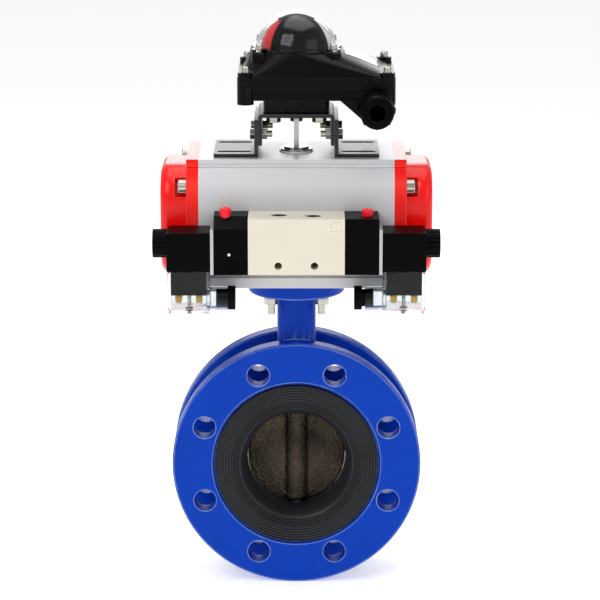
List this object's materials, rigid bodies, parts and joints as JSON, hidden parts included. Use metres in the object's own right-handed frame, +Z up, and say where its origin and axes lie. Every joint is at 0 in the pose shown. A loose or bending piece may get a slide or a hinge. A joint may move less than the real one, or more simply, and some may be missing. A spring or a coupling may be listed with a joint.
{
  "type": "pneumatic actuated butterfly valve",
  "caption": "Flanged rubber-lined butterfly valve turned by a rack and pinion air actuator, with a double solenoid pilot valve and a domed limit switch box on a bracket.",
  "frame": {"origin": "centre of the inlet flange's face", "axes": "+Y along the flow, from inlet to outlet; +Z up along the stem, towards the actuator"},
  "size_m": [0.223, 0.143, 0.463],
  "materials": {
    "actuator_body": "satin anodised",
    "armature_tubes": "plain steel",
    "blanking_plug": "black moulded plastic",
    "box_base": "black powder coat",
    "box_lid": "black powder coat",
    "box_seal": "black rubber",
    "bracket_fasteners": "plain steel",
    "bracket_foot_left": "black coated steel",
    "bracket_foot_right": "black coated steel",
    "bracket_plate": "black coated steel",
    "cable_gland": "black moulded plastic",
    "coil_nuts": "black moulded plastic",
    "coils": "black moulded plastic",
    "connector_gland_nuts": "black moulded plastic",
    "connector_screws": "plain steel",
    "connectors": "clear moulded plastic",
    "cover_screws": "plain steel",
    "disc_pins": "plain steel",
    "end_cap_left": "red powder coat",
    "end_cap_right": "red powder coat",
    "end_cap_screws": "plain steel",
    "end_cap_seals": "black rubber",
    "gland_nut": "black moulded plastic",
    "indicator_dome": "clear moulded plastic",
    "indicator_flags": "red",
    "indicator_mask": "black moulded plastic",
    "indicator_rotor": "white",
    "micro_switches": "black moulded plastic",
    "override_button_left": "red",
    "override_button_right": "red",
    "pilot_block_left": "black moulded plastic",
    "pilot_block_right": "black moulded plastic",
    "pinion": "plain steel",
    "pinion_bearings": "acetal",
    "pinion_circlip": "plain steel",
    "piston_left": "satin anodised",
    "piston_right": "satin anodised",
    "piston_seal_left": "black rubber",
    "piston_seal_right": "black rubber",
    "plunger_left": "plain steel",
    "plunger_right": "plain steel",
    "seat_liner": "black rubber",
    "solenoid_body": "cream paint",
    "solenoid_gasket": "black rubber",
    "solenoid_screws": "plain steel",
    "stem_bushes": "bronze",
    "stem_seals": "black rubber",
    "stop_cam": "plain steel",
    "stop_screws": "plain steel",
    "switch_cams": "moulded",
    "switch_plunger_closed": "white",
    "switch_plunger_open": "white",
    "switch_shaft": "plain steel",
    "terminal_inserts": "black moulded plastic",
    "terminal_strip": "pale",
    "top_flange_fasteners": "plain steel",
    "valve_body": "smooth gloss blue paint",
    "valve_disc": "cast, dark",
    "valve_spool": "satin anodised",
    "valve_stem": "plain steel"
  },
  "bodies": {
    "housing": {"actuator_body": "actuator_body", "armature_tubes": "armature_tubes", "blanking_plug": "blanking_plug", "box_base": "box_base", "box_lid": "box_lid", "box_seal": "box_seal", "bracket_fasteners": "bracket_fasteners", "bracket_foot_left": "bracket_foot_left", "bracket_foot_right": "bracket_foot_right", "bracket_plate": "bracket_plate", "cable_gland": "cable_gland", "coil_nuts": "coil_nuts", "coils": "coils", "connector_gland_nuts": "connector_gland_nuts", "connector_screws": "connector_screws", "connectors": "connectors", "cover_screws": "cover_screws", "end_cap_left": "end_cap_left", "end_cap_right": "end_cap_right", "end_cap_screws": "end_cap_screws", "end_cap_seals": "end_cap_seals", "gland_nut": "gland_nut", "indicator_dome": "indicator_dome", "indicator_mask": "indicator_mask", "micro_switches": "micro_switches", "pilot_block_left": "pilot_block_left", "pilot_block_right": "pilot_block_right", "pinion_bearings": "pinion_bearings", "seat_liner": "seat_liner", "solenoid_body": "solenoid_body", "solenoid_gasket": "solenoid_gasket", "solenoid_screws": "solenoid_screws", "stem_bushes": "stem_bushes", "stem_seals": "stem_seals", "stop_screws": "stop_screws", "terminal_inserts": "terminal_inserts", "terminal_strip": "terminal_strip", "top_flange_fasteners": "top_flange_fasteners", "valve_body": "valve_body"},
    "drive_train": {"valve_disc": "valve_disc", "disc_pins": "disc_pins", "valve_stem": "valve_stem", "pinion": "pinion", "pinion_circlip": "pinion_circlip", "stop_cam": "stop_cam", "switch_shaft": "switch_shaft", "switch_cams": "switch_cams", "indicator_rotor": "indicator_rotor", "indicator_flags": "indicator_flags"},
    "piston_left": {"piston_left": "piston_left", "piston_seal_left": "piston_seal_left"},
    "piston_right": {"piston_right": "piston_right", "piston_seal_right": "piston_seal_right"},
    "spool": {"valve_spool": "valve_spool"},
    "button_left": {"override_button_left": "override_button_left"},
    "button_right": {"override_button_right": "override_button_right"},
    "armature_left": {"plunger_left": "plunger_left"},
    "armature_right": {"plunger_right": "plunger_right"},
    "closed_switch": {"switch_plunger_closed": "switch_plunger_closed"},
    "open_switch": {"switch_plunger_open": "switch_plunger_open"}
  },
  "joints": [
    {"name": "disc_turn", "type": "hinge", "parent": "housing", "child": "drive_train", "pos_m": [0, 0.032, 0], "axis": [0, 0, 1], "range_deg": [0, 90]},
    {"name": "piston_left_slide", "type": "slide", "parent": "housing", "child": "piston_left", "axis": [-1, 0, 0], "range_m": [0, 0.02122]},
    {"name": "piston_right_slide", "type": "slide", "parent": "housing", "child": "piston_right", "axis": [1, 0, 0], "range_m": [0, 0.02122]},
    {"name": "spool_shift", "type": "slide", "parent": "housing", "child": "spool", "axis": [1, 0, 0], "range_m": [0, 0.004]},
    {"name": "button_left_press", "type": "slide", "parent": "housing", "child": "button_left", "axis": [0, 0, -1], "range_m": [0, 0.002], "stiffness_N_per_m": 300},
    {"name": "button_right_press", "type": "slide", "parent": "housing", "child": "button_right", "axis": [0, 0, -1], "range_m": [0, 0.002], "stiffness_N_per_m": 300},
    {"name": "armature_left_pull", "type": "slide", "parent": "housing", "child": "armature_left", "axis": [-1, 0, 0], "range_m": [0, 0.0015], "stiffness_N_per_m": 300},
    {"name": "armature_right_pull", "type": "slide", "parent": "housing", "child": "armature_right", "axis": [1, 0, 0], "range_m": [0, 0.0015], "stiffness_N_per_m": 300},
    {"name": "closed_switch_press", "type": "slide", "parent": "housing", "child": "closed_switch", "axis": [0, 1, 0], "range_m": [0, 0.0008], "stiffness_N_per_m": 300},
    {"name": "open_switch_press", "type": "slide", "parent": "housing", "child": "open_switch", "axis": [0, 1, 0], "range_m": [0, 0.0008], "stiffness_N_per_m": 300}
  ],
  "couplings": [
    {"joint": "piston_left_slide", "follows": "disc_turn", "m_per_rad": 0.0135},
    {"joint": "piston_right_slide", "follows": "disc_turn", "m_per_rad": 0.0135}
  ]
}
